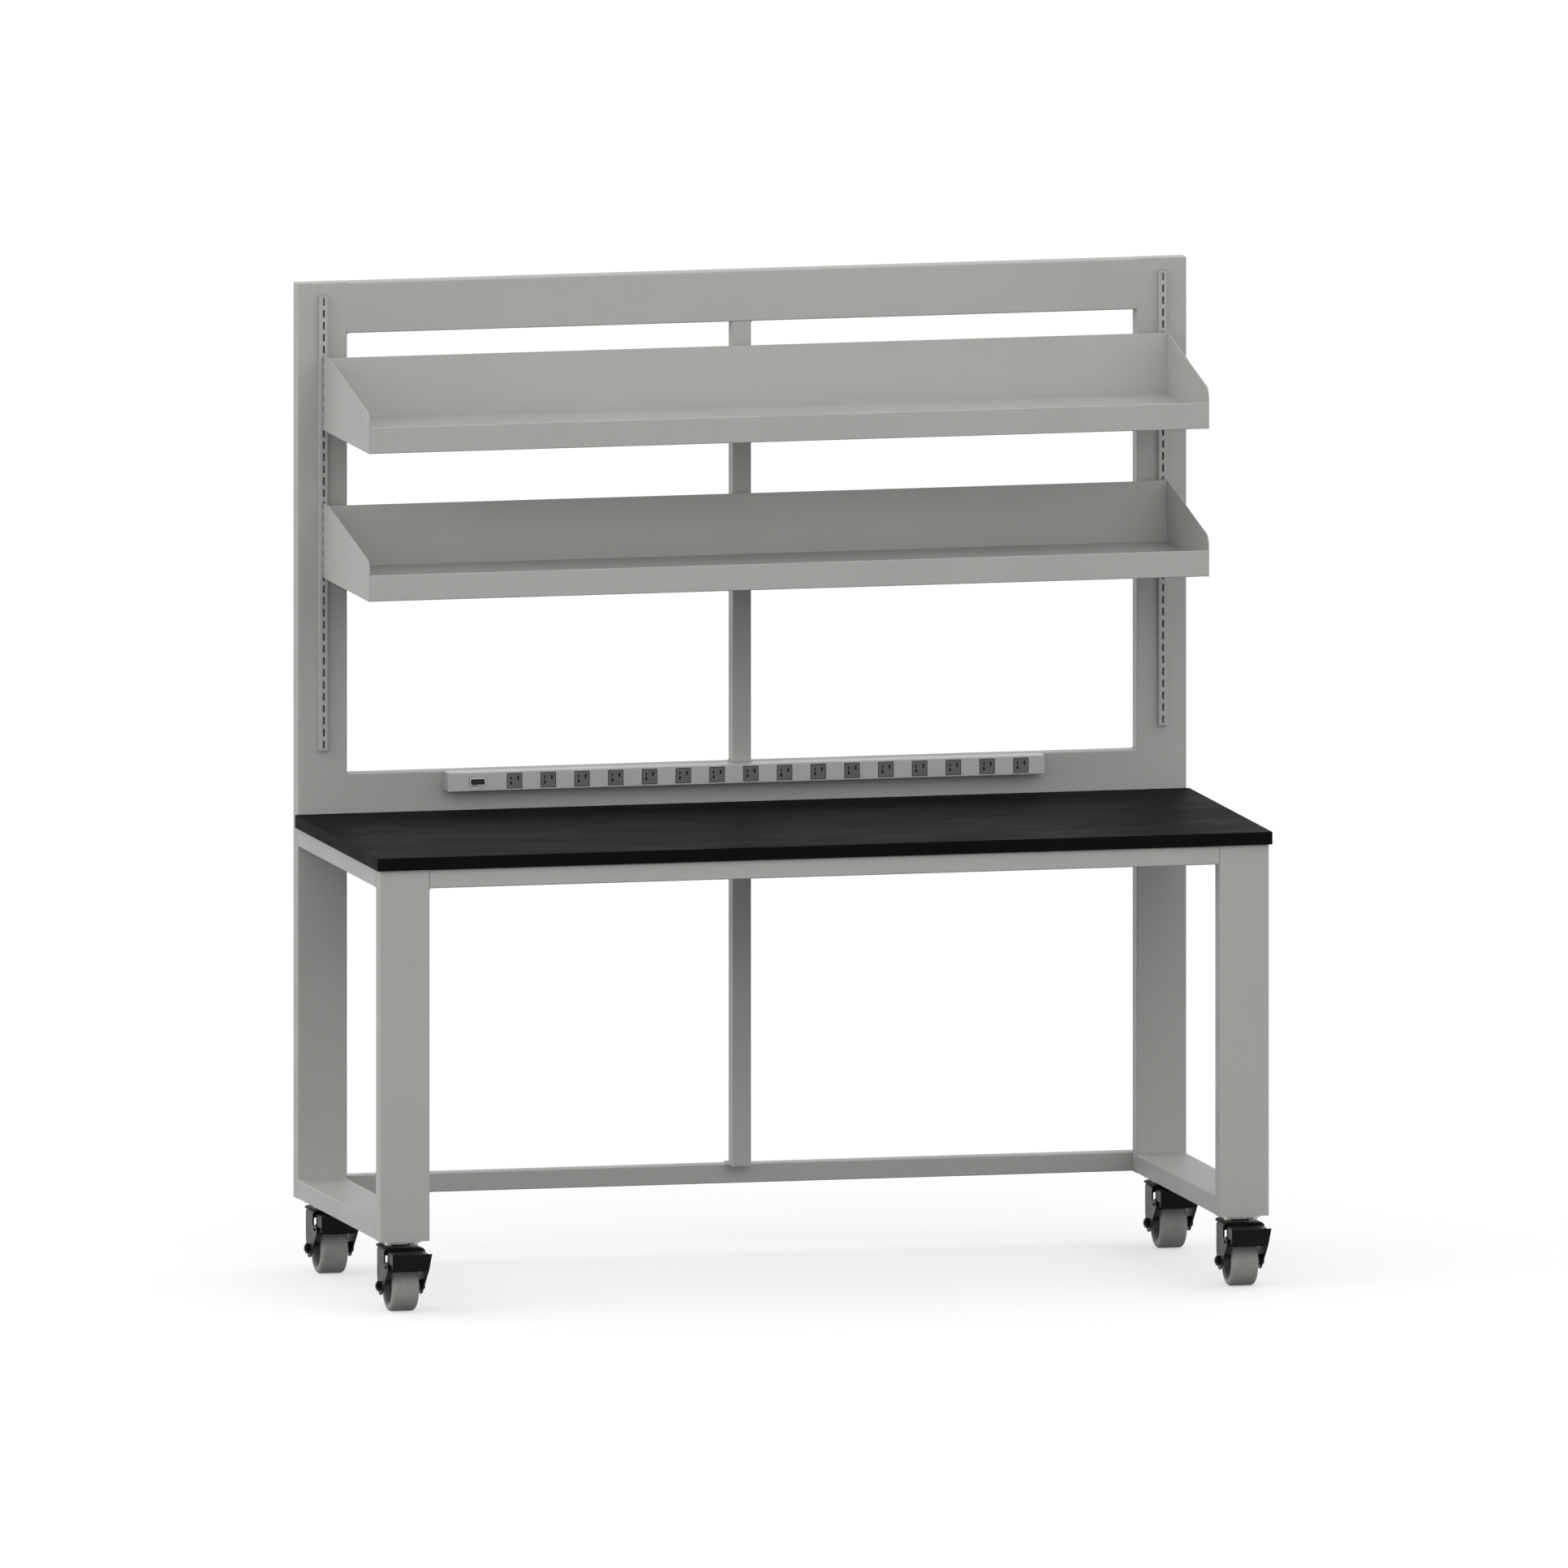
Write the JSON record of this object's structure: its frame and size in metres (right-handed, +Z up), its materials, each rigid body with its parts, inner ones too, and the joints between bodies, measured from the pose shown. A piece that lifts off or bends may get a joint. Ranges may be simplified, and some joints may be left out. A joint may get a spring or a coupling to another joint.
{
  "type": "laboratory bench with reagent shelves",
  "caption": "Mobile steel laboratory bench with a black worktop, hook-on reagent shelves, a rear power strip and braked swivel casters.",
  "frame": {"origin": "on the floor, at the middle of the bench's footprint", "axes": "+X along the bench to the user's right, +Y towards the back with the posts, +Z up"},
  "size_m": [1.83, 0.8462, 1.9765],
  "materials": {
    "frame_paint": "light grey satin powder coat",
    "shelf_paint": "light grey satin powder coat",
    "zinc_plate": "bright zinc plate",
    "worktop_resin": "black satin chemical-resistant top",
    "strip_aluminium": "satin anodised",
    "outlet_plastic": "dark grey moulded plastic",
    "bezel_plastic": "light grey moulded plastic",
    "rocker_plastic": "black moulded plastic",
    "black_steel": "black satin coat",
    "grey_tread": "grey non-marking tread",
    "hub_plastic": "grey moulded hub"
  },
  "bodies": {
    "bench": {"worktop_screws": "zinc_plate", "foot_screw": "zinc_plate", "front_apron_rail": "frame_paint", "rear_worktop_rail": "frame_paint", "mid_rail": "frame_paint", "top_rail": "frame_paint", "upper_centre_post": "frame_paint", "lower_centre_post": "frame_paint", "rear_bottom_rail": "frame_paint", "centre_post_foot": "frame_paint", "post_top_caps": "frame_paint", "leg_end_plates": "frame_paint", "bottom_rail_end_caps": "frame_paint", "worktop": "worktop_resin", "standard_screws": "frame_paint", "power_strip_housing": "strip_aluminium", "power_strip_end_caps": "strip_aluminium", "outlets": "outlet_plastic", "switch_bezel": "bezel_plastic", "caster_top_plates": "zinc_plate", "caster_plate_bolts": "zinc_plate", "caster_kingpins": "zinc_plate", "left_rear_post": "frame_paint", "left_front_leg": "frame_paint", "left_lower_side_rail": "frame_paint", "left_upper_side_rail": "frame_paint", "left_shelf_standard": "frame_paint", "right_rear_post": "frame_paint", "right_front_leg": "frame_paint", "right_lower_side_rail": "frame_paint", "right_upper_side_rail": "frame_paint", "right_shelf_standard": "frame_paint"},
    "rocker": {"switch_rocker": "rocker_plastic"},
    "lower_shelf": {"lower_shelf_tray": "shelf_paint", "lower_shelf_left_end": "shelf_paint", "lower_shelf_right_end": "shelf_paint"},
    "upper_shelf": {"upper_shelf_tray": "shelf_paint", "upper_shelf_left_end": "shelf_paint", "upper_shelf_right_end": "shelf_paint"},
    "front_left_fork": {"front_left_caster_fork": "black_steel", "front_left_caster_axle": "black_steel"},
    "front_left_wheel": {"front_left_caster_tread": "grey_tread", "front_left_caster_hub": "hub_plastic"},
    "front_left_pedal": {"front_left_caster_pedal": "black_steel"},
    "front_right_fork": {"front_right_caster_fork": "black_steel", "front_right_caster_axle": "black_steel"},
    "front_right_wheel": {"front_right_caster_tread": "grey_tread", "front_right_caster_hub": "hub_plastic"},
    "front_right_pedal": {"front_right_caster_pedal": "black_steel"},
    "rear_left_fork": {"rear_left_caster_fork": "black_steel", "rear_left_caster_axle": "black_steel"},
    "rear_left_wheel": {"rear_left_caster_tread": "grey_tread", "rear_left_caster_hub": "hub_plastic"},
    "rear_left_pedal": {"rear_left_caster_pedal": "black_steel"},
    "rear_right_fork": {"rear_right_caster_fork": "black_steel", "rear_right_caster_axle": "black_steel"},
    "rear_right_wheel": {"rear_right_caster_tread": "grey_tread", "rear_right_caster_hub": "hub_plastic"},
    "rear_right_pedal": {"rear_right_caster_pedal": "black_steel"}
  },
  "joints": [
    {"name": "rocker_tilt", "type": "hinge", "parent": "bench", "child": "rocker", "pos_m": [-0.5497, 0.3088, 0.97295], "axis": [0, 0, 1], "range_deg": [-18, 0]},
    {"name": "lower_shelf_lift_off", "type": "slide", "parent": "bench", "child": "lower_shelf", "axis": [0, -0.9397, 0.342], "range_m": [0, 0.4]},
    {"name": "upper_shelf_lift_off", "type": "slide", "parent": "bench", "child": "upper_shelf", "axis": [0, -0.9397, 0.342], "range_m": [0, 0.4]},
    {"name": "front_left_swivel", "type": "hinge", "parent": "bench", "child": "front_left_fork", "pos_m": [-0.858, -0.2916, 0.1308], "axis": [0, 0, 1], "continuous": true},
    {"name": "front_left_roll", "type": "hinge", "parent": "front_left_fork", "child": "front_left_wheel", "pos_m": [-0.858, -0.3216, 0.0508], "axis": [1, 0, 0], "continuous": true},
    {"name": "front_left_brake", "type": "hinge", "parent": "front_left_fork", "child": "front_left_pedal", "pos_m": [-0.858, -0.3696, 0.094], "axis": [1, 0, 0], "range_deg": [0, 12]},
    {"name": "front_right_swivel", "type": "hinge", "parent": "bench", "child": "front_right_fork", "pos_m": [0.858, -0.2916, 0.1308], "axis": [0, 0, 1], "continuous": true},
    {"name": "front_right_roll", "type": "hinge", "parent": "front_right_fork", "child": "front_right_wheel", "pos_m": [0.858, -0.3216, 0.0508], "axis": [1, 0, 0], "continuous": true},
    {"name": "front_right_brake", "type": "hinge", "parent": "front_right_fork", "child": "front_right_pedal", "pos_m": [0.858, -0.3696, 0.094], "axis": [1, 0, 0], "range_deg": [0, 12]},
    {"name": "rear_left_swivel", "type": "hinge", "parent": "bench", "child": "rear_left_fork", "pos_m": [-0.858, 0.3174, 0.1308], "axis": [0, 0, 1], "continuous": true},
    {"name": "rear_left_roll", "type": "hinge", "parent": "rear_left_fork", "child": "rear_left_wheel", "pos_m": [-0.858, 0.2874, 0.0508], "axis": [1, 0, 0], "continuous": true},
    {"name": "rear_left_brake", "type": "hinge", "parent": "rear_left_fork", "child": "rear_left_pedal", "pos_m": [-0.858, 0.2394, 0.094], "axis": [1, 0, 0], "range_deg": [0, 12]},
    {"name": "rear_right_swivel", "type": "hinge", "parent": "bench", "child": "rear_right_fork", "pos_m": [0.858, 0.3174, 0.1308], "axis": [0, 0, 1], "continuous": true},
    {"name": "rear_right_roll", "type": "hinge", "parent": "rear_right_fork", "child": "rear_right_wheel", "pos_m": [0.858, 0.2874, 0.0508], "axis": [1, 0, 0], "continuous": true},
    {"name": "rear_right_brake", "type": "hinge", "parent": "rear_right_fork", "child": "rear_right_pedal", "pos_m": [0.858, 0.2394, 0.094], "axis": [1, 0, 0], "range_deg": [0, 12]}
  ]
}
